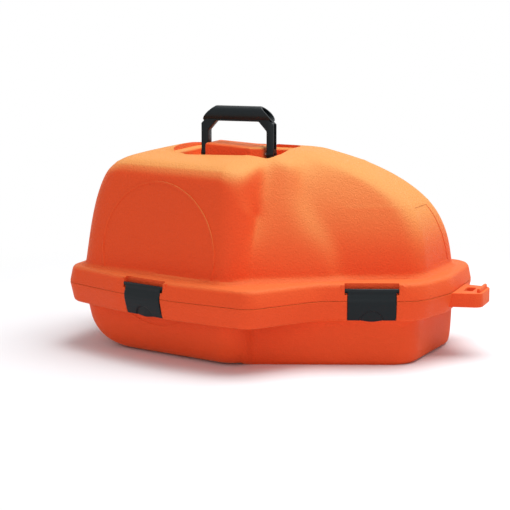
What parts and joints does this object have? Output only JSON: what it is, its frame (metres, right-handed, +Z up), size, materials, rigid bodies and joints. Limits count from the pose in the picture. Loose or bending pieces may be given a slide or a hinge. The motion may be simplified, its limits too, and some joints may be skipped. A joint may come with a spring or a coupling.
{
  "type": "power saw carrying case",
  "caption": "Hard plastic carrying case for a power saw: domed lid on a tray with a wide rim, rear pin hinges, front latches, fold-down top handle and a slotted tab at one end",
  "frame": {"origin": "on the tray's flat underside, which stands on the floor", "axes": "+X along the length of the case towards the slotted tab, -Y towards the latches, +Z up"},
  "size_m": [0.64, 0.4169, 0.38],
  "materials": {
    "shell": "satin orange with a fine pebble grain",
    "fittings": "satin black",
    "steel": "plain drawn wire"
  },
  "bodies": {
    "base": {"base_shell": "shell", "left_hinge_pin": "steel", "right_hinge_pin": "steel"},
    "lid": {"lid_shell": "shell", "handle_rod": "steel"},
    "handle": {"handle": "fittings"},
    "left_latch": {"left_latch": "fittings"},
    "right_latch": {"right_latch": "fittings"}
  },
  "joints": [
    {"name": "lid_hinge", "type": "hinge", "parent": "base", "child": "lid", "pos_m": [0, 0.2005, 0.102], "axis": [-1, 0, 0], "range_deg": [0, 110]},
    {"name": "handle_fold", "type": "hinge", "parent": "lid", "child": "handle", "pos_m": [-0.057, -0.008, 0.306], "axis": [-1, 0, 0], "range_deg": [0, 88]},
    {"name": "left_latch_swing", "type": "hinge", "parent": "lid", "child": "left_latch", "pos_m": [-0.14804, -0.16533, 0.116], "axis": [-0.9452, 0.3265, 0], "range_deg": [0, 100]},
    {"name": "right_latch_swing", "type": "hinge", "parent": "lid", "child": "right_latch", "pos_m": [0.18255, -0.07976, 0.116], "axis": [-0.9396, -0.3423, 0], "range_deg": [0, 100]}
  ]
}
